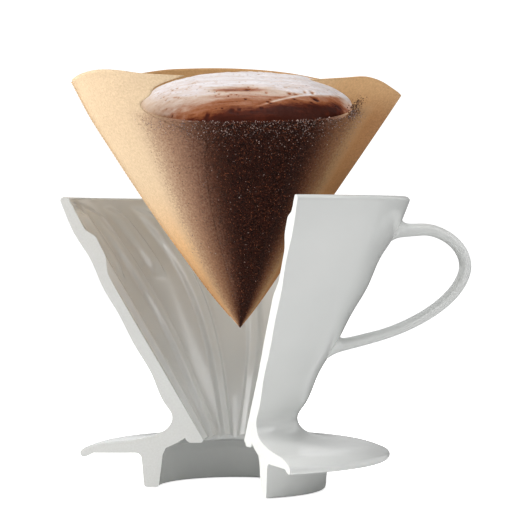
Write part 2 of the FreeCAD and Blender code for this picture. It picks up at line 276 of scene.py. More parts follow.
def new_piece(name, vertices_mm, faces, sharp_deg=38.0, face_materials=None):
    """A mesh object in the row frame, smooth except along its sharp edges."""
    mesh = bpy.data.meshes.new(name)
    mesh.from_pydata((np.asarray(vertices_mm, float) * MM).tolist(), [], faces)
    if face_materials is not None:
        mesh.polygons.foreach_set("material_index", face_materials)
    editing = bmesh.new()
    editing.from_mesh(mesh)
    bmesh.ops.recalc_face_normals(editing, faces=editing.faces)
    editing.to_mesh(mesh)
    editing.free()
    mesh.polygons.foreach_set("use_smooth", [True] * len(mesh.polygons))
    mesh.set_sharp_from_angle(angle=math.radians(sharp_deg))
    mesh.update()
    piece = bpy.data.objects.new(name, mesh)
    bpy.context.scene.collection.objects.link(piece)
    return piece


def tube_faces(rings, count):
    """Quads between successive rings of count points each."""
    faces = []
    for i in range(rings - 1):
        here, there = i * count, (i + 1) * count
        for j in range(count):
            k = (j + 1) % count
            faces.append((here + j, here + k, there + k, there + j))
    return faces


def swept_piece(name, loops):
    """A closed solid through equal loops; its two flat ends take the second material."""
    count = len(loops[0])
    faces = tube_faces(len(loops), count)
    sides = len(faces)
    faces.append(tuple(range(count)))
    faces.append(tuple(range((len(loops) - 1) * count, len(loops) * count)))
    materials = [0] * sides + [1, 1]
    return new_piece(name, np.concatenate(loops), faces, face_materials=materials)


def finish_piece(piece, body, materials, replaced=()):
    """Gives a finished piece its body, its materials and the CAD nodes it stands for."""
    for material in materials:
        piece.data.materials.append(material)
    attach(piece, body)
    if replaced:
        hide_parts(*replaced)
    if body == "filter":
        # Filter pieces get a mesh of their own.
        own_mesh(piece)


# ---- ceramic body ---------------------------------------------------------------------------

def rib_turn(z):
    """How far, in degrees, a rib has swept round the cone by height z."""
    share = np.maximum(0.0, (z - RIB_TWIST_START_Z) / RIB_TWIST_SPAN_Z)
    return RIB_TWIST_DEG * share ** RIB_TWIST_POWER


def rib_relief(r, z, angle_deg):
    """How far the ribs stand in from the wall at each point of a meridian."""
    step = 0.5
    lean = np.radians(rib_turn(z + step) - rib_turn(z)) / step * r * math.cos(CONE_HALF_ANGLE)
    across = r / np.sqrt(1 + lean ** 2)
    share = z / RIB_TOP_Z
    height = RIB_HEIGHTS[0] + (RIB_HEIGHTS[1] - RIB_HEIGHTS[0]) * share
    half = RIB_HALF_WIDTHS[0] + (RIB_HALF_WIDTHS[1] - RIB_HALF_WIDTHS[0]) * share
    relief = np.zeros_like(z)
    for offset, fades_out in ((0.0, False), (RIB_PITCH_DEG / 2, True)):
        away = angle_deg - RIB_PHASE_DEG - offset - rib_turn(z) + RIB_PITCH_DEG / 2
        away = away % RIB_PITCH_DEG - RIB_PITCH_DEG / 2
        t = np.abs(np.radians(away)) * across / half
        ends = smooth(RIB_TOP_Z - z, 0, RIB_END_TAPER)
        if fades_out:
            ends = ends * smooth(z - SHORT_RIB_END_Z, 0, RIB_END_TAPER)
        crown = 1 - smooth(t, 0.32, 0.98)
        relief = np.maximum(relief, height * ends * crown)
    return relief


def body_loops():
    """The closed outlines of the cone, the saucer and the foot ring, as (r, z) points."""
    inside = spline(INNER_WALL, 1.0)
    rim_inner, rim_outer = INNER_WALL[-1], OUTER_WALL[0]
    rim = arc(rim_inner, ((rim_inner[0] + rim_outer[0]) / 2, RIM_TOP_Z), rim_outer, 0.35)
    outside = spline(OUTER_WALL + SAUCER_TOP, 0.9)
    waist = int(np.argmin(outside[:, 0]))
    near, saucer_top = split_at(outside[waist:], 0, SAUCER_HOLE_R)
    outer_wall = join(outside[:waist + 1], near)
    web = polyline(WEB, 0.6)
    web_out, web_in = split_at(web, 0, SAUCER_HOLE_R)
    lip = join(arc(*NOTCH, 0.3), line(NOTCH[-1], LIP[0], 0.6), arc(*LIP, 0.3))
    seam = line(near[-1], web_in[0], 1.0)
    cone = join(inside, rim, outer_wall, seam, web_in, lip)[:-1]
    edge = join(arc(*SAUCER_EDGE, 0.25), arc(*SAUCER_DRIP, 0.3))
    mid = FOOT_FILLET_R * (1 - math.sqrt(0.5))
    fillet_r = FOOT_OUTER[0][0] + FOOT_FILLET_R
    fillet = arc((fillet_r, UNDERSIDE_Z), (FOOT_OUTER[0][0] + mid, UNDERSIDE_Z - mid), FOOT_OUTER[0], 0.3)
    outer_top, outer_low = split_at(line(*FOOT_OUTER, 0.8), 1, FOOT_TOP_Z)
    inner_low, inner_top = split_at(line(*FOOT_INNER, 0.8), 1, FOOT_TOP_Z)
    saucer = join(
        saucer_top, edge, line(SAUCER_DRIP[-1], fillet[0], 1.2), fillet, outer_top,
        line(outer_top[-1], inner_top[0], 1.0), inner_top, web_out, seam[::-1],
    )[:-1]
    e, q = FOOT_EDGE_R, FOOT_EDGE_R * (1 - math.sqrt(0.5))
    outer_r, inner_r = FOOT_OUTER[1][0], FOOT_INNER[0][0]
    foot = join(
        outer_low, arc(FOOT_OUTER[1], (outer_r - q, q), (outer_r - e, 0), 0.2),
        line((outer_r - e, 0), (inner_r + e, 0), 0.8),
        arc((inner_r + e, 0), (inner_r + q, q), FOOT_INNER[0], 0.2), inner_low,
        line(inner_low[-1], outer_low[0], 1.0),
    )[:-1]
    return cone, saucer, foot, len(inside)


def meridians(piece_name):
    """The angles of a piece's loops, from the front cut round the back to the left cut."""
    count = int(round((LEFT_CUT_DEG - FRONT_CUT_DEG) / MERIDIAN_STEP_DEG[piece_name]))
    return np.linspace(FRONT_CUT_DEG, LEFT_CUT_DEG, count + 1)


def turned_loop(loop, angle_deg):
    """An outline of (r, z) points, turned to its place round the axis."""
    a = math.radians(angle_deg)
    return np.stack([loop[:, 0] * math.cos(a), loop[:, 0] * math.sin(a), loop[:, 1]], axis=1)


def cone_loop(cone, inner_count, angle_deg):
    """The cone's outline at one angle, with the ribs it passes through."""
    loop = cone.copy()
    r, z = cone[:inner_count, 0], cone[:inner_count, 1]
    relief = rib_relief(r, z, angle_deg)
    loop[:inner_count, 0] -= relief * math.cos(CONE_HALF_ANGLE)
    loop[:inner_count, 1] += relief * math.sin(CONE_HALF_ANGLE)
    return loop


def ceramic_body(glaze, bisque):
    """The cone with its ribs and outlet, the saucer and the foot ring."""
    cone, saucer, foot, inner_count = body_loops()
    ribbed = [turned_loop(cone_loop(cone, inner_count, a), a) for a in meridians("cone")]
    for name, loops, nodes in (
        ("cone", ribbed, ("cone_wall", "long_ribs", "short_ribs", "outlet_lip")),
        ("saucer", [turned_loop(saucer, a) for a in meridians("saucer")], ("saucer_plate",)),
        ("foot_ring_body", [turned_loop(foot, a) for a in meridians("foot_ring_body")], ("foot_ring",)),
    ):
        finish_piece(swept_piece(name, loops), "dripper", [glaze, bisque], nodes)


def clear_of_wall(x, y, z):
    """How far points stand outside the cone's outer wall; less than 0 inside it."""
    outside = spline(OUTER_WALL, 0.9)[::-1]
    radius = np.interp(z, outside[:, 1], outside[:, 0])
    return (x - np.sqrt(radius ** 2 - y ** 2)) * math.cos(CONE_HALF_ANGLE)


def handle(glaze):
    """The strap handle, whose ends flare into the wall."""
    path = spline(HANDLE_LINE, 0.6)
    tangent = np.gradient(path[:, :2], axis=0)
    tangent /= np.linalg.norm(tangent, axis=1)[:, None]
    turns = np.linspace(0, 2 * math.pi, HANDLE_LOOP_POINTS, endpoint=False)
    across, over = powered(np.cos(turns), 0.76), powered(np.sin(turns), 0.8)
    loops = []
    for (x, z, thickness), (tx, tz) in zip(path, tangent):
        side = across * HANDLE_WIDTH / 2
        up = over * thickness / 2
        loop = np.stack([x - tz * up, side, z + tx * up], axis=1)
        flare = ROOT_FLARE * np.exp(-np.maximum(clear_of_wall(*loop.T), 0) / ROOT_FLARE_REACH)
        outward = np.stack([-tz * over, across, tx * over], axis=1)
        along_wall = outward - np.outer(outward @ WALL_NORMAL, WALL_NORMAL)
        loops.append(loop + along_wall * flare[:, None])
    nodes = ("handle_strap", "handle_upper_root", "handle_lower_root")
    finish_piece(swept_piece("handle", loops), "dripper", [glaze, glaze], nodes)


# ---- paper filter ---------------------------------------------------------------------------

def paper_point(front_deg, z, inset=0.0):
    """A point of the opened paper, by its angle from the front (+ towards +X) and its height."""
    rise = z - PAPER_APEX[2]
    side = np.where(np.sin(np.radians(front_deg)) < 0, PAPER_LEFT_DEG, PAPER_RIGHT_DEG)
    wide = np.tan(np.radians(side))
    deep = math.tan(math.radians(PAPER_DEPTH_DEG))
    reach = rise - inset / math.sin(math.radians(31.0))
    s, c = np.sin(np.radians(front_deg)), np.cos(np.radians(front_deg))
    bulge = np.where(s < 0, table(reach, CREASE_BULGE, 1), table(reach, CREASE_BULGE, 2))
    x = PAPER_APEX[0] + (np.maximum(reach, 0) * wide + bulge * s ** 4) * s
    y = -np.maximum(reach, 0) * deep * powered(c, PAPER_ROUNDING)
    return np.stack([x, y, z + 0 * x], axis=-1)


def rim_height(front_deg):
    """Height of the paper's rim at an angle from the front."""
    turn = np.radians(np.asarray(front_deg, float))
    across = np.sin(turn)
    return np.where(np.cos(turn) > 0, table(across, FRONT_RIM, 1), table(across, BACK_RIM, 1))


def coffee_share(front_deg, z):
    """How much coffee shows at a place on the cone: 0 for bare paper, 1 for solid coffee."""
    none_left, full_left, full_right, none_right = (table(z, FADE_EDGES, i) for i in range(1, 5))
    left = np.clip((front_deg - none_left) / (full_left - none_left), 0, 1)
    right = np.clip((none_right - front_deg) / (none_right - full_right), 0, 1)
    covered = 1 - smooth(z - bed_edge_height(front_deg), 1.0, 4.5)
    thinner_at_tip = 0.90 + 0.10 * smooth(z, 60, 98)
    return np.where(np.abs(front_deg) < 90, left * right * covered * thinner_at_tip, 0.0)


def damp_and_shade_share(front_deg, z):
    """How far the paper is darkened: on its right side below the rim this is painted shade, and towards the
    tip all of it is damp.
    """
    # Painted shade: the right side, turned away from the key light, is darkened, less so near the rim.
    right = smooth(front_deg, 8, 42) * (1 - 0.55 * smooth(z, 124, 138))
    tip = 0.8 * (1 - smooth(z, 62, 108)) * np.where(np.abs(front_deg) < 90, 1.0, 0.5)
    return np.maximum(np.where(np.abs(front_deg) < 90, right, 0.0), tip)


def paper_columns(z):
    """Angles from the front round the cone at height z, with a column on each window edge."""
    left, right = (float(table(np.array(z), WINDOW_EDGES, i)) for i in (1, 2))
    window = np.linspace(left, right, WINDOW_COLUMNS + 1)
    rest = np.linspace(right, left + 360, OTHER_COLUMNS + 1)
    return np.concatenate([window, rest[1:-1]])


def paper_row(share, middle):
    """One row of points round the paper, and their angles from the front, from -180 to 180."""
    columns = paper_columns(middle)
    signed = (columns + 180) % 360 - 180
    z = PAPER_APEX[2] + share * (rim_height(columns) - PAPER_APEX[2])
    around = paper_point(columns, z)
    outward = around - np.stack([0 * z + PAPER_APEX[0], 0 * z, z], axis=-1)
    outward /= np.linalg.norm(outward, axis=1)[:, None] + 1e-9
    swell = 0.35 * share ** 2 * smooth(np.abs(signed), 62, 90)
    swell = swell * np.sin(np.radians(columns * 5 + 40)) * np.cos(np.radians(columns)) ** 2
    return around + outward * swell[:, None], signed


def paper_faces(middles, count):
    """The faces between the paper's rows, without those in its window."""
    faces = [(0, 1 + (j + 1) % count, 1 + j) for j in range(count)]
    for i, middle in enumerate(middles[:-1]):
        here, there = 1 + i * count, 1 + (i + 1) * count
        first = WINDOW_COLUMNS if middle > WINDOW_TIP_Z else 0
        for j in range(first, count):
            k = (j + 1) % count
            faces.append((here + j, here + k, there + k, there + j))
    return faces


def paper(outside, inside):
    """The paper as a thin closed shell with its window."""
    shares = (np.arange(1, PAPER_ROWS + 1) / PAPER_ROWS) ** 0.92
    middles = PAPER_APEX[2] + shares * (RIM_MIDDLE_Z - PAPER_APEX[2])
    rows = [paper_row(share, middle) for share, middle in zip(shares, middles)]
    points = np.concatenate([[PAPER_APEX]] + [around for around, _ in rows])
    angles = np.concatenate([[0.0]] + [signed for _, signed in rows])
    faces = paper_faces(middles, len(rows[0][1]))
    used = sorted({v for f in faces for v in f})
    renumber = {v: i for i, v in enumerate(used)}
    vertices, front = points[used], angles[used]
    piece = new_piece("paper_filter", vertices, [tuple(renumber[v] for v in f) for f in faces])
    store(piece, "coffee", coffee_share(front, vertices[:, 2]))
    # These values hold painted shade on the right side and dampness towards the tip.
    store(piece, "damp_and_shade", damp_and_shade_share(front, vertices[:, 2]))
    store(piece, "crimp", 1 - smooth(np.abs(front + 90), 10, 17))
    front_face = piece.data.polygons[-1]
    if front_face.normal.y > 0:
        piece.data.flip_normals()
    for material in (outside, inside):
        piece.data.materials.append(material)
    shell = piece.modifiers.new("thickness", "SOLIDIFY")
    shell.thickness = PAPER_THICKNESS * MM
    shell.offset = -1.0
    shell.use_even_offset = False
    shell.material_offset = 1
    apply_modifiers(piece)
    finish_piece(piece, "filter", [], ("filter_paper",))


def store(piece, name, values):
    """Keeps a value at each vertex for the material to read."""
    attribute = piece.data.attributes.new(name, "FLOAT", "POINT")
    attribute.data.foreach_set("value", np.asarray(values, np.float32))


def apply_modifiers(piece):
    """Makes the modifiers' result the piece's own mesh."""
    graph = bpy.context.evaluated_depsgraph_get()
    mesh = bpy.data.meshes.new_from_object(piece.evaluated_get(graph))
    piece.modifiers.clear()
    piece.data = mesh


def paper_seam(material):
    """The crimped seam along the left crease: a narrow double edge with pressed ridges."""
    rows, columns = 330, 6
    loops = []
    for i in range(rows + 1):
        share = i / rows
        z = PAPER_APEX[2] + 4.0 + share * (rim_height(-90.0) - PAPER_APEX[2] - 4.3)
        crease = paper_point(np.array([-90.0]), np.array([z]))[0]
        tooth = 0.16 * (1 - abs((i * 0.5) % 2 - 1))
        width = (0.5 + tooth) * min(1.0, 0.3 + 6 * share)
        across = np.linspace(0.5, -width, columns)
        press = 0.06 * np.sin(i * 1.15 + across * 2.2)
        half = np.linspace(0.46, 0.12, columns)
        front = np.stack([crease[0] + across, -half + press, z + across * 0.45], axis=1)
        back = np.stack([crease[0] + across, half + press, z + across * 0.45], axis=1)[::-1]
        loops.append(np.concatenate([front, back]))
    piece = swept_piece("paper_seam", loops)
    store(piece, "damp_and_shade", damp_and_shade_share(-89.0, np.array([v.co.z for v in piece.data.vertices]) / MM))
    finish_piece(piece, "filter", [material, material], ("filter_seam",))


# ---- coffee ---------------------------------------------------------------------------------

def bed_height(y):
    """Height of the bed's top, which leans towards the front."""
    return BED_Z + BED_LEAN * y


def bed_edge_height(front_deg):
    """Height at which the leaning top of the bed meets the paper."""
    z = np.full_like(np.asarray(front_deg, float), BED_Z)
    for _ in range(20):
        z = bed_height(paper_point(front_deg, z, 0.5)[..., 1])
    return z


def ripple(points, scale, depth, seed=0.0):
    """A soft random rise and fall at each point."""
    shift = Vector((seed, seed * 1.7, seed * 0.3))
    values = [noise.fractal(Vector(p) * scale + shift, 0.6, 2.0, 4) for p in points]
    return depth * np.array(values)


def coffee_bed(material):
    """The wet grounds: a solid that fills the paper, a little proud of it in the window."""
    rows, count = 120, 300
    angles = np.linspace(-180, 180, count, endpoint=False)
    edge = bed_edge_height(angles)
    points, shares = [np.array([[PAPER_APEX[0], 0, PAPER_APEX[2] + 1.0]])], [np.ones(1)]
    for i in range(1, rows + 1):
        z = PAPER_APEX[2] + 1.0 + (edge - PAPER_APEX[2] - 1.0) * i / rows
        share = coffee_share(angles, z)
        inset = 0.62 - 0.54 * smooth(share, 0.35, 0.5)
        points.append(paper_point(angles, z, inset))
        shares.append(share)
    for i in range(1, 24):
        inner = points[rows] * 1.0
        inner[:, 0] = PAPER_APEX[0] + (inner[:, 0] - PAPER_APEX[0]) * (1 - i / 24)
        inner[:, 1] *= 1 - i / 24
        inner[:, 2] = bed_height(inner[:, 1]) + 0.6 * smooth(i / 24, 0, 0.2)
        points.append(inner)
        shares.append(np.maximum(coffee_share(angles, edge - 2), smooth(np.abs(angles), 70, 88)))
    faces = [(0, 1 + (j + 1) % count, 1 + j) for j in range(count)]
    faces += [tuple(1 + v for v in f) for f in tube_faces(len(points) - 1, count)]
    faces.append(tuple(1 + (len(points) - 2) * count + j for j in range(count)))
    vertices = np.concatenate(points)
    outward = vertices - np.array([PAPER_APEX[0], 0, 0])
    outward[:, 2] = 0
    outward /= np.linalg.norm(outward, axis=1)[:, None] + 1e-9
    vertices = vertices + outward * ripple(vertices, 1.3, 0.06)[:, None]
    piece = new_piece("coffee_grounds", vertices, faces)
    store(piece, "coffee", np.concatenate(shares))
    finish_piece(piece, "filter", [material], ("coffee_bed",))


def grain_shape():
    """The corners and faces of one rough grain, about one unit across."""
    gold = (1 + math.sqrt(5)) / 2
    corners = []
    for a in (-1, 1):
        for b in (-gold, gold):
            corners += [(0, a, b), (a, b, 0), (b, 0, a)]
    corners = np.array(corners, float) / math.hypot(1, gold)
    hull = bmesh.new()
    for corner in corners:
        hull.verts.new(corner)
    hull.verts.index_update()
    bmesh.ops.convex_hull(hull, input=hull.verts)
    hull.verts.index_update()
    faces = [tuple(v.index for v in f.verts) for f in hull.faces]
    placed = np.array([v.co for v in hull.verts])
    hull.free()
    return placed, faces


def scatter(rng):
    """Random places on the cone's front: angle, height, share of coffee and depth below the edge."""
    tries = GRAINS * 9
    front = rng.uniform(-60, 70, tries)
    z = PAPER_APEX[2] + 2 + (BED_Z - PAPER_APEX[2]) * np.sqrt(rng.uniform(size=tries))
    below = bed_edge_height(front) - z
    share = coffee_share(front, z)
    dense = share ** 2.2 + 0.5 * np.exp(-((below - 2.5) / 3.0) ** 2) * smooth(share, 0.05, 0.3)
    kept = (below > -0.7) & (rng.uniform(size=tries) < dense * 0.6)
    return np.stack([front, z, share, below], axis=1)[kept][:GRAINS]


def crumbs(rng):
    """Grains flung on the paper beside the foam's right end, dark ones above pale ones."""
    solid = np.ones(CRUMBS)
    front, z = rng.normal(48.8, 1.7, CRUMBS), rng.normal(129.2, 1.3, CRUMBS)
    dark = np.stack([front, z, solid * 0.7, solid * 20], axis=1)
    front, z = 47.2 + np.abs(rng.normal(0, 2.6, CRUMBS)), rng.normal(126.5, 1.1, CRUMBS)
    pale = np.stack([front, z, solid, solid * 0.5], axis=1)
    return np.concatenate([dark, pale])


def grain_tint(rng, share, below):
    """The colour of one grain: dark in the coffee, paler on the paper and along the bed's top edge."""
    near_top = math.exp(-max(below - 0.5, 0) / 3.6)
    bare = (1 - share) ** 1.6
    tone = rng.uniform()
    if tone < 0.012 + 0.40 * near_top:
        return np.array([0.52, 0.39, 0.35]) * rng.uniform(0.3, 1.3)
    if tone < 0.25 + 0.42 * near_top:
        return np.array([0.23, 0.070, 0.030]) * rng.uniform(0.4, 1.4) + 0.20 * bare
    dark = np.array([0.024, 0.008, 0.005]) * rng.uniform(0.3, 2.4)
    return dark + np.array([0.62, 0.42, 0.29]) * bare * rng.uniform(0.5, 1.1)


def grains(material):
    """Loose grounds on the face of the coffee, sparser where it fades out on the paper."""
    rng = np.random.default_rng(7)
    corners, shape_faces = grain_shape()
    vertices, faces, colours = [], [], []
    for front, z, share, below in np.concatenate([scatter(rng), crumbs(rng)]):
        centre = paper_point(np.array([front]), np.array([z]), 0.04)[0]
        turn, _ = np.linalg.qr(rng.normal(size=(3, 3)))
        stretch = rng.uniform(0.09, 0.22) * rng.uniform(0.7, 1.3, 3)
        grain = (corners * rng.uniform(0.75, 1.15, (len(corners), 1)) * stretch) @ turn + centre
        base = len(vertices) * len(corners)
        vertices.append(grain)
        faces += [tuple(base + v for v in f) for f in shape_faces]
        colours += [(*grain_tint(rng, share, below), 1.0)] * len(corners)
    piece = new_piece("loose_grains", np.concatenate(vertices), faces, sharp_deg=25.0)
    tint = piece.data.color_attributes.new("tint", "FLOAT_COLOR", "POINT")
    tint.data.foreach_set("color", np.array(colours, np.float32).ravel())
    finish_piece(piece, "filter", [material])


def foam_out(x, y):
    """How far a place is from the foam's middle, as a share of the way to its edge."""
    u = np.abs((x - FOAM_CENTRE[0]) / FOAM_RADII[0])
    v = np.abs((y - FOAM_CENTRE[1]) / FOAM_RADII[1])
    return (u ** FOAM_ROUNDING + v ** FOAM_ROUNDING) ** (1 / FOAM_ROUNDING)


def mound(x, y, cx, cy, rx, ry):
    """A soft round bump of height 1."""
    return np.exp(-(((x - cx) / rx) ** 2) - ((y - cy) / ry) ** 2)


def foam_rise(x, y):
    """Height of the foam above the bed, with its dimple, its folds and its swollen right end."""
    out = foam_out(x, y)
    dome = FOAM_RISE * np.maximum(0, 1 - out ** 2.7) ** 0.58
    ease = np.maximum(0, 1 - out) ** 0.4
    dimple = -0.7 * mound(x, y, 3.5, -20.5, 9, 3.0)
    fold_line = y + 22.0 - 0.34 * (x - 14)
    fold = 0.7 * np.exp(-((fold_line / 1.3) ** 2)) * smooth(x, 4, 14) * (1 - smooth(x, 24, 33))
    furrow = -0.5 * np.exp(-(((fold_line + 2.2) / 1.3) ** 2)) * smooth(x, 4, 16) * (1 - smooth(x, 30, 38))
    swell = 0.5 * mound(x, y, 27, -12, 9, 8) + 0.5 * mound(x, y, -14, -10, 12, 9)
    return dome + (dimple + fold + furrow + swell) * ease


def foam_cream_and_sheen(x, y, level):
    """Where the foam is creamy (1) or red-brown (0): pale on top and at its left end, partly the cream's
    own colour and partly painted sheen; a painted highlight along its fold, paler round its right end,
    darker at its dimple.
    """
    side = (x - FOAM_CENTRE[0]) / FOAM_RADII[0]
    turning = table(side, FOAM_TURNING, 1)
    below = np.clip((turning - level) / table(side, FOAM_TURNING, 2), 0, 1.1)
    above = np.clip((level - turning) / table(side, FOAM_TURNING, 3), 0, 1)
    # Pale above the turning level: partly the cream's own colour, partly painted sheen where the light
    # falls on the top.
    pale = 0.5 - 0.45 * below + 0.42 * above
    pale = pale - 0.50 * mound(x, level, 3.5, 0.67, 8.5, 0.06)
    pale = pale - 0.22 * mound(x, level, -4, 0.655, 4.5, 0.03)
    # Painted highlight: a bright line along the fold.
    u = x - 11.3
    highlight_path = level - 0.385 - 0.0185 * u + 0.00036 * u ** 2
    line = np.exp(-((highlight_path / 0.018) ** 2)) * smooth(u, -6, 2) * (1 - smooth(u, 14, 24))
    ring = smooth(foam_out(x, y), 0.86, 0.97) * smooth(side, 0.80, 0.93) * (y < FOAM_CENTRE[1])
    return np.clip(pale + 0.42 * line + 0.45 * ring, 0.0, 1.0)


def foam_bubbles():
    """Every bubble on the foam, small ones first, as (x, y, radius)."""
    rng = np.random.default_rng(11)
    small = 260
    scattered = np.stack([
        rng.uniform(-30, 38, small), rng.uniform(-35, 24, small), rng.uniform(0.25, 0.6, small),
    ], axis=1)
    return np.concatenate([scattered, FOAM_BUBBLES])


def foam_ring(share, count, bubbles):
    """The points of the foam's skin at a share of the way out from its middle."""
    angles = np.linspace(0, 2 * math.pi, count, endpoint=False)
    c, s = np.cos(angles), np.sin(angles)
    blunt = (np.abs(c) ** FOAM_ROUNDING + np.abs(s) ** FOAM_ROUNDING) ** (-1 / FOAM_ROUNDING)
    x = FOAM_CENTRE[0] + FOAM_RADII[0] * share * c * blunt
    y = FOAM_CENTRE[1] + FOAM_RADII[1] * share * s * blunt
    ease = 1 - share ** 6
    drawn = np.stack([x * 0.5, y, 0 * x], axis=1)
    fine = np.stack([x * 0.35, y * 1.6, 0 * x], axis=1)
    rise = foam_rise(x, y) + (ripple(drawn, 0.16, 0.4, 3.0) + ripple(fine, 0.5, 0.1, 9.0)) * ease
    for bx, by, br in bubbles:
        near = ((x - bx) ** 2 + (y - by) ** 2) / br ** 2
        rise = rise - 0.55 * br * np.exp(-near * 1.4) + 0.14 * br * np.exp(-(near - 1.8) ** 2 * 2)
    return np.stack([x, y, bed_height(y) + rise], axis=1)


def foam(material):
    """The foam crust: a swollen skin with bubbles, a dimple and drawn-out streaks."""
    rings, count = 130, 400
    bubbles = foam_bubbles()
    points = [foam_ring(math.sin(i / rings * math.pi / 2), count, bubbles) for i in range(1, rings + 1)]
    points.append(points[-1] - [0, 0, 1.5])
    top = [[*FOAM_CENTRE, bed_height(FOAM_CENTRE[1]) + float(foam_rise(*np.array(FOAM_CENTRE)))]]
    faces = [(0, 1 + j, 1 + (j + 1) % count) for j in range(count)]
    faces += [tuple(1 + v for v in f) for f in tube_faces(len(points), count)]
    faces.append(tuple(1 + rings * count + j for j in range(count)))
    vertices = np.concatenate([top] + points)
    piece = new_piece("foam_crust", vertices, faces, sharp_deg=60.0)
    x, y, z = vertices.T
    low, high = bed_height(-FOAM_RADII[1]), bed_height(0) + FOAM_RISE
    pale = foam_cream_and_sheen(x, y, (z - low) / (high - low))
    for bx, by, br in bubbles:
        pale = pale - 0.3 * (1 + br) * np.exp(-2.2 * ((x - bx) ** 2 + (y - by) ** 2) / br ** 2)
    side = (x - FOAM_CENTRE[0]) / FOAM_RADII[0]
    # The pale values include painted sheen on top and a painted highlight along the fold.
    store(piece, "pale", pale)
    store(piece, "thin", smooth(foam_out(x, y), 0.80, 1.02) * (1 - smooth(side, -0.98, -0.62)))
    finish_piece(piece, "filter", [material], ("bloom_crust",))


# ---- materials ------------------------------------------------------------------------------

def put(tree, socket, value):
    """Links another node's output to a socket, or sets the socket to a value."""
    if isinstance(value, bpy.types.NodeSocket):
        tree.links.new(value, socket)
    else:
        socket.default_value = value


def add_node(tree, kind, **inputs):
    """A new node with some inputs filled by their names, where _ stands for a space."""
    node = tree.nodes.new(kind)
    for name, value in inputs.items():
        put(tree, node.inputs[name.replace("_", " ")], value)
    return node


def filled_node(tree, kind, *inputs):
    """The first output of a new node whose inputs are filled in their order."""
    node = tree.nodes.new(kind)
    for socket, value in zip(node.inputs, inputs):
        put(tree, socket, value)
    return node.outputs[0]


def colour_ramp(tree, source, stops):
    """Colours by a value, as (position, (r, g, b)) stops."""
    node = add_node(tree, "ShaderNodeValToRGB", Fac=source)
    marks = node.color_ramp.elements
    while len(marks) < len(stops):
        marks.new(0.5)
    for mark, (at, colour) in zip(marks, stops):
        mark.position = at
        mark.color = (*colour, 1.0)
    return node.outputs["Color"]


class Nodes:
    """A material's node tree, with short calls for the nodes that the materials share."""

    def __init__(self, name):
        self.material = bpy.data.materials.new(name)
        self.material.use_nodes = True
        self.tree = self.material.node_tree
        self.shader = self.tree.nodes["Principled BSDF"]
        self.place = self.tree.nodes.new("ShaderNodeTexCoord").outputs["Object"]

    def set(self, **values):
        """Fills the shader's inputs by their names, where _ stands for a space."""
        for name, value in values.items():
            put(self.tree, self.shader.inputs[name.replace("_", " ")], value)

    def add(self, kind, **inputs):
        return add_node(self.tree, kind, **inputs)

    def scaled(self, factors):
        """The place in the object, stretched by a factor on each axis."""
        return self.add("ShaderNodeMapping", Scale=factors, Vector=self.place).outputs["Vector"]

    def noise(self, scale, detail=3.0, roughness=0.55, place=None):
        place = place or self.place
        node = self.add("ShaderNodeTexNoise", Scale=scale, Detail=detail, Roughness=roughness, Vector=place)
        return node.outputs["Fac"]

    def wave(self, scale, distortion):
        """Slanting ridges."""
        node = self.add("ShaderNodeTexWave", Scale=scale, Distortion=distortion, Vector=self.place)
        node.bands_direction = "DIAGONAL"
        return node.outputs["Fac"]

    def cells(self, scale):
        """How far each place is from the middle of its cell."""
        return self.add("ShaderNodeTexVoronoi", Scale=scale, Vector=self.place).outputs["Distance"]

    def ramp(self, source, stops):
        return colour_ramp(self.tree, source, stops)

    def span(self, source, low, high, to_low=0.0, to_high=1.0):
        """A value from one range moved to another, held at its ends."""
        node = self.add("ShaderNodeMapRange", From_Min=low, From_Max=high, To_Min=to_low, To_Max=to_high)
        put(self.tree, node.inputs["Value"], source)
        return node.outputs["Result"]

    def maths(self, operation, a, b):
        node = self.tree.nodes.new("ShaderNodeMath")
        node.operation = operation
        for socket, value in zip(node.inputs, (a, b)):
            put(self.tree, socket, value)
        return node.outputs["Value"]

    def mix(self, factor, a, b, blend="MIX"):
        """Two colours mixed by a factor."""
        node = self.tree.nodes.new("ShaderNodeMix")
        node.data_type = "RGBA"
        node.blend_type = blend
        for i, value in ((0, factor), (6, a), (7, b)):
            put(self.tree, node.inputs[i], (*value, 1.0) if isinstance(value, tuple) else value)
        return node.outputs[2]

    def attribute(self, name, output="Fac"):
        node = self.tree.nodes.new("ShaderNodeAttribute")
        node.attribute_name = name
        return node.outputs[output]

    def colour(self, source):
        self.set(Base_Color=source)

    def roughness(self, source, low, high):
        self.set(Roughness=self.span(source, 0.3, 0.7, low, high))

    def bump(self, *layers):
        """Fine relief from (source, height in millimetres) layers."""
        relief = {}
        for source, height in layers:
            node = self.add("ShaderNodeBump", Distance=height * MM, Height=source, **relief)
            relief = {"Normal": node.outputs["Normal"]}
        self.set(**relief)


def glaze_material(name, least_rough, most_rough):
    """Glossy off-white glaze with faint pooling and the soft ripple of a hand-dipped surface."""
    n = Nodes(name)
    pooling = n.noise(28.0, 2.0)
    n.colour(n.ramp(pooling, [(0.3, (0.70, 0.715, 0.70)), (0.7, (0.75, 0.76, 0.745))]))
    n.roughness(n.noise(60.0), least_rough, most_rough)
    n.bump((n.noise(35.0, 1.0), 0.06))
    n.set(IOR=1.52)
    return n.material


def bisque_material():
    """The sawn face through the ceramic: matt, fine-grained and a little warmer than the glaze."""
    n = Nodes("sawn_ceramic")
    grain = n.noise(1500.0, 2.0)
    n.colour(n.ramp(grain, [(0.35, (0.75, 0.755, 0.73)), (0.65, (0.79, 0.795, 0.775))]))
    n.roughness(grain, 0.55, 0.7)
    n.bump((grain, 0.02), (n.noise(250.0), 0.03))
    return n.material


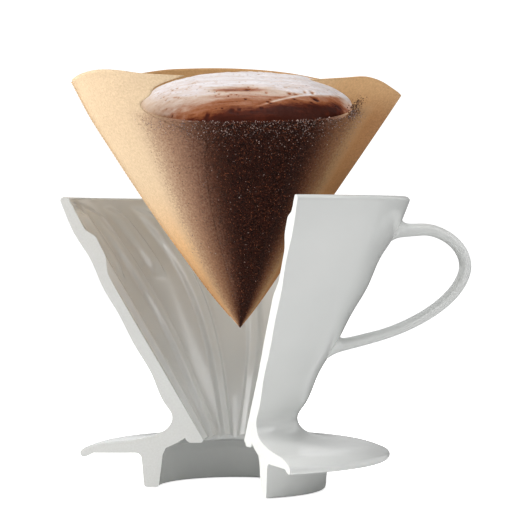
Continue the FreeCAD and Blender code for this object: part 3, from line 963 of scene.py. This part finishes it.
def coffee_colours(n, share):
    """Dark wet grounds by their share: near black with red and tan flecks, paler where they thin out."""
    dark = n.ramp(n.noise(1100.0, 2.0), [(0.35, (0.006, 0.0020, 0.0013)), (0.7, (0.046, 0.012, 0.0075))])
    fleck = n.ramp(n.noise(2600.0, 1.0), [
        (0.45, (0.03, 0.009, 0.005)), (0.6, (0.15, 0.038, 0.016)), (0.75, (0.30, 0.105, 0.045)),
    ])
    solid = n.mix(n.span(n.cells(1700.0), 0.1, 0.45, 0.6, 0.0), dark, fleck)
    thin = n.ramp(share, [
        (0.0, (0.74, 0.56, 0.37)), (0.2, (0.55, 0.385, 0.25)), (0.4, (0.35, 0.205, 0.128)),
        (0.6, (0.195, 0.096, 0.060)), (0.8, (0.092, 0.033, 0.019)), (1.0, (0.02, 0.007, 0.005)),
    ])
    return n.mix(n.span(share, 0.62, 1.0, 0.0, 0.9), thin, solid)


def grainy(n, share):
    """The share of coffee, broken up by grains; bare paper stays bare."""
    grain = n.noise(1500.0, 2.0, 0.6)
    wobble = n.maths("MULTIPLY", n.span(share, 0.0, 0.15), n.span(grain, 0.25, 0.75, -0.11, 0.11))
    return n.maths("ADD", share, wobble)


def paper_tone(n, pale, dark):
    """Mottled unbleached paper between two colours, darker and more orange where it is damp towards the tip
    and, as painted shade, on its right side.
    """
    mottle = n.noise(1250.0, 3.0, 0.75)
    plain = n.ramp(mottle, [(0.34, dark), (0.66, pale)])
    plain = n.mix(n.span(n.noise(60.0), 0.3, 0.7, 0.0, 0.25), plain, pale)
    # Painted shade on the right side and dampness towards the tip, both multiplied into the paper's colour.
    damp_and_shade_tint = n.ramp(n.attribute("damp_and_shade"), [
        (0.0, (1, 1, 1)), (0.45, (0.98, 0.79, 0.60)), (1.0, (0.61, 0.40, 0.25)),
    ])
    return n.mix(1.0, plain, damp_and_shade_tint, "MULTIPLY")


def paper_material():
    """The outside of the paper: creped, crimped at the seam, and stained by the grounds inside."""
    n = Nodes("unbleached_paper")
    crepe = n.noise(420.0, 3.0, place=n.scaled((1.0, 1.0, 3.2)))
    crimp = n.wave(620.0, 1.2)
    plain = paper_tone(n, (0.79, 0.60, 0.395), (0.62, 0.455, 0.285))
    pressed = n.maths("MULTIPLY", n.attribute("crimp"), crimp)
    plain = n.mix(n.span(pressed, 0.3, 1.0, 0.0, 0.35), plain, (0.50, 0.33, 0.18))
    share = grainy(n, n.attribute("coffee"))
    n.colour(n.mix(n.span(share, 0.0, 0.25), plain, coffee_with_damp_and_shade(n, share)))
    n.roughness(crepe, 0.75, 0.9)
    n.bump((crepe, 0.16), (n.noise(1700.0, 3.0, 0.7), 0.05), (pressed, 0.12))
    n.set(Specular_IOR_Level=0.15)
    return n.material


def coffee_with_damp_and_shade(n, share):
    """Coffee seen through the paper, darker and warmer where the paper is damp and, as painted shade, on
    its right side.
    """
    return n.mix(n.attribute("damp_and_shade"), coffee_colours(n, share), (0.72, 0.60, 0.46), "MULTIPLY")


def paper_inside_material():
    """The inside of the paper: wet, and darker and more orange than the outside as painted shade, since its
    face lies in shadow.
    """
    n = Nodes("wet_and_shaded_paper_inside")
    # Painted shade: darker, more orange colours than the outside's.
    n.colour(paper_tone(n, (0.50, 0.29, 0.125), (0.40, 0.215, 0.085)))
    n.roughness(n.noise(400.0), 0.6, 0.8)
    n.bump((n.noise(420.0, 3.0, place=n.scaled((1.0, 1.0, 3.2))), 0.16))
    n.set(Specular_IOR_Level=0.15)
    return n.material


def grounds_material():
    """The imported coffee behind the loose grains."""
    n = Nodes("wet_grounds")
    n.colour(coffee_colours(n, grainy(n, n.attribute("coffee"))))
    n.roughness(n.noise(800.0), 0.5, 0.8)
    n.bump((n.noise(1100.0, 2.0), 0.3))
    n.set(Specular_IOR_Level=0.06)
    return n.material


def grain_material():
    """Single grains, each with its own shade."""
    n = Nodes("coffee_grain")
    darkening = n.span(n.noise(3000.0), 0.3, 0.7, 0.0, 0.35)
    n.colour(n.mix(darkening, n.attribute("tint", "Color"), (0.02, 0.008, 0.006)))
    n.roughness(n.noise(700.0), 0.4, 0.65)
    n.bump((n.noise(2500.0), 0.05))
    n.set(Specular_IOR_Level=0.15)
    return n.material


def foam_material():
    """Wet coffee foam: creamy white on top, partly as painted sheen, and glossy there, red-brown and dull
    down its front.
    """
    n = Nodes("coffee_foam")
    streaks = n.noise(480.0, 4.0, 0.6, n.scaled((0.16, 0.9, 0.9)))
    fine = n.noise(900.0, 3.0, 0.6)
    pale = n.maths("ADD", n.attribute("pale"), n.span(streaks, 0.3, 0.7, -0.13, 0.13))
    pale = n.maths("ADD", pale, n.span(fine, 0.3, 0.7, -0.04, 0.04))
    # The palest stops stand partly for painted sheen on the foam's top.
    shade = n.ramp(pale, [
        (0.0, (0.045, 0.0085, 0.004)), (0.15, (0.092, 0.017, 0.0065)), (0.30, (0.26, 0.083, 0.031)),
        (0.45, (0.36, 0.153, 0.078)), (0.60, (0.48, 0.30, 0.215)), (0.75, (0.60, 0.46, 0.37)),
        (0.90, (0.68, 0.60, 0.59)), (1.0, (0.76, 0.72, 0.73)),
    ])
    bubbles = n.cells(520.0)
    pits = n.maths("MULTIPLY", n.span(bubbles, 0.10, 0.22, 0.6, 0.0), n.span(n.noise(170.0), 0.52, 0.62))
    shade = n.mix(pits, shade, (0.08, 0.020, 0.010))
    n.colour(n.mix(n.attribute("thin"), shade, (0.76, 0.585, 0.43)))
    n.roughness(fine, 0.26, 0.42)
    shine = n.span(pale, 0.3, 0.8, 0.04, 0.35)
    n.set(Specular_IOR_Level=shine, Coat_Weight=n.span(pale, 0.4, 0.9, 0.0, 0.2), Coat_Roughness=0.12)
    n.bump((streaks, 0.22), (bubbles, 0.10), (fine, 0.06))
    return n.material


# ---- studio ---------------------------------------------------------------------------------

CAMERA_MM = (8.8, -681.0, 90.1)
CAMERA_PITCH_DEG = -1.04
CAMERA_LENS_MM = 137.4
LAMP_AIM_MM = (0, 0, 70)
BRIGHTEST_STRIP = 10.0
FLOOR_HALF_M = 6.0
FLOOR_GAP_M = 0.0004
FLOOR_PANEL_M = (0.07, 0.09)  # how far behind the axis the floor turns dark in reflections


def camera():
    """A long lens at the height of the cone's rim, looking along +Y."""
    data = bpy.data.cameras.new("camera")
    data.lens = CAMERA_LENS_MM
    data.sensor_width = 36.0
    view = bpy.data.objects.new("camera", data)
    view.location = Vector(CAMERA_MM) * MM
    view.rotation_euler = (math.radians(90 + CAMERA_PITCH_DEG), 0, 0)
    bpy.context.scene.collection.objects.link(view)
    bpy.context.scene.camera = view


def softbox(name, place_mm, size_mm, watts):
    """A rectangular lamp that faces the object's middle."""
    data = bpy.data.lights.new(name, "AREA")
    data.shape = "RECTANGLE"
    data.size, data.size_y = size_mm[0] * MM, size_mm[1] * MM
    data.energy = watts
    lamp = bpy.data.objects.new(name, data)
    lamp.location = Vector(place_mm) * MM
    lamp.rotation_euler = (Vector(LAMP_AIM_MM) - Vector(place_mm)).to_track_quat("-Z", "Y").to_euler()
    bpy.context.scene.collection.objects.link(lamp)


def sky(tree, strength, stops, strips=()):
    """A room whose brightness changes from left (0) to right (1), as (place, level) stops."""
    direction = add_node(tree, "ShaderNodeTexCoord").outputs["Generated"]
    split = add_node(tree, "ShaderNodeSeparateXYZ", Vector=direction).outputs
    spread = add_node(tree, "ShaderNodeMapRange", Value=split["X"], From_Min=-1.0).outputs["Result"]
    sides = colour_ramp(tree, spread, [(at, (level, level, level)) for at, level in stops])
    if strips:
        strength = strip_light(tree, spread, split["Y"], strength, strips)
    return add_node(tree, "ShaderNodeBackground", Color=sides, Strength=strength).outputs["Background"]


def strip_light(tree, sideways, depth, strength, strips):
    """A room's strength with upright bright strips in front of the object, as (sideways place, level)."""
    bright = add_node(tree, "ShaderNodeFloatCurve", Value=sideways)
    curve = bright.mapping.curves[0]
    curve.points[0].location = (0.0, 0.0)
    curve.points[1].location = (1.0, 0.0)
    for at, level in strips:
        for offset, height in ((-0.05, 0), (-0.03, level), (0.03, level), (0.05, 0)):
            curve.points.new((at + 1) / 2 + offset, height / BRIGHTEST_STRIP)
    bright.mapping.update()
    front = add_node(tree, "ShaderNodeMapRange", Value=depth, From_Min=-0.15, From_Max=-0.30,
                     To_Max=BRIGHTEST_STRIP)
    total = tree.nodes.new("ShaderNodeMath")
    total.operation = "MULTIPLY_ADD"
    for socket, value in zip(total.inputs, (bright.outputs["Value"], front.outputs["Result"], strength)):
        put(tree, socket, value)
    return total.outputs["Value"]


def studio():
    """A white room: soft lamps from both sides and above, dark panels to reflect, a pale floor."""
    softbox("key_left", (-680, -90, 420), (420, 560), 5.6)
    softbox("right", (560, -200, 520), (360, 420), 1.2)
    softbox("strip_front_left", (-330, -620, 210), (90, 620), 0.1)
    softbox("top", (80, -60, 700), (420, 420), 1.3)
    world = bpy.data.worlds.new("white_room")
    bpy.context.scene.world = world
    world.use_nodes = True
    tree = world.node_tree
    soft = sky(tree, 0.40, [(0.0, 0.95), (1.0, 0.85)])
    panels = [
        (0.0, 0.9), (0.5, 1.0), (0.60, 0.35), (0.68, 0.12), (0.73, 0.12),
        (0.75, 1.0), (0.82, 1.0), (0.84, 0.15), (0.90, 0.9),
    ]
    strips = [(-0.42, 5.0), (0.0, 3.0), (0.42, 8.0)]
    shiny = sky(tree, 0.85, panels, strips)
    backdrop = tree.nodes["Background"]
    backdrop.inputs["Color"].default_value = (1, 1, 1, 1)
    backdrop.inputs["Strength"].default_value = 1.15
    rays = add_node(tree, "ShaderNodeLightPath").outputs
    reflected = filled_node(tree, "ShaderNodeMixShader", rays["Is Glossy Ray"], soft, shiny)
    plain = backdrop.outputs["Background"]
    seen = filled_node(tree, "ShaderNodeMixShader", rays["Is Camera Ray"], reflected, plain)
    put(tree, tree.nodes["World Output"].inputs["Surface"], seen)
    floor()


def floor():
    """A wide pale floor just under the foot ring."""
    half, z = FLOOR_HALF_M, CAD_BOX[0][2] - FLOOR_GAP_M
    mesh = bpy.data.meshes.new("floor")
    corners = [(-half, -half, z), (half, -half, z), (half, half, z), (-half, half, z)]
    mesh.from_pydata(corners, [], [(0, 1, 2, 3)])
    plane = bpy.data.objects.new("floor", mesh)
    bpy.context.scene.collection.objects.link(plane)
    mesh.materials.append(floor_material())


def floor_material():
    """Pale and evenly lit to the camera, with a dark panel behind the object in reflections."""
    n = Nodes("pale_floor")
    n.set(Base_Color=(0.95, 0.95, 0.95, 1), Roughness=0.9, Specular_IOR_Level=0.0)
    plain = n.shader.outputs["BSDF"]
    rays = n.add("ShaderNodeLightPath").outputs
    behind = n.span(n.add("ShaderNodeSeparateXYZ", Vector=n.place).outputs["Y"], *FLOOR_PANEL_M)
    panel = n.maths("MULTIPLY", behind, rays["Is Glossy Ray"])
    dark = n.add("ShaderNodeEmission", Strength=0.15).outputs["Emission"]
    glow = n.add("ShaderNodeEmission", Strength=0.85).outputs["Emission"]
    reflected = filled_node(n.tree, "ShaderNodeMixShader", panel, plain, dark)
    lit = filled_node(n.tree, "ShaderNodeAddShader", plain, glow)
    seen = filled_node(n.tree, "ShaderNodeMixShader", rays["Is Camera Ray"], reflected, lit)
    put(n.tree, n.tree.nodes["Material Output"].inputs["Surface"], seen)
    return n.material


def main():
    camera()
    studio()
    bpy.context.scene.view_settings.view_transform = "Standard"
    ceramic_body(glaze_material("white_glaze", 0.13, 0.19), bisque_material())
    handle(glaze_material("handle_glaze", 0.32, 0.38))
    paper_look = paper_material()
    paper(paper_look, paper_inside_material())
    paper_seam(paper_look)
    coffee_bed(grounds_material())
    grains(grain_material())
    foam(foam_material())


main()
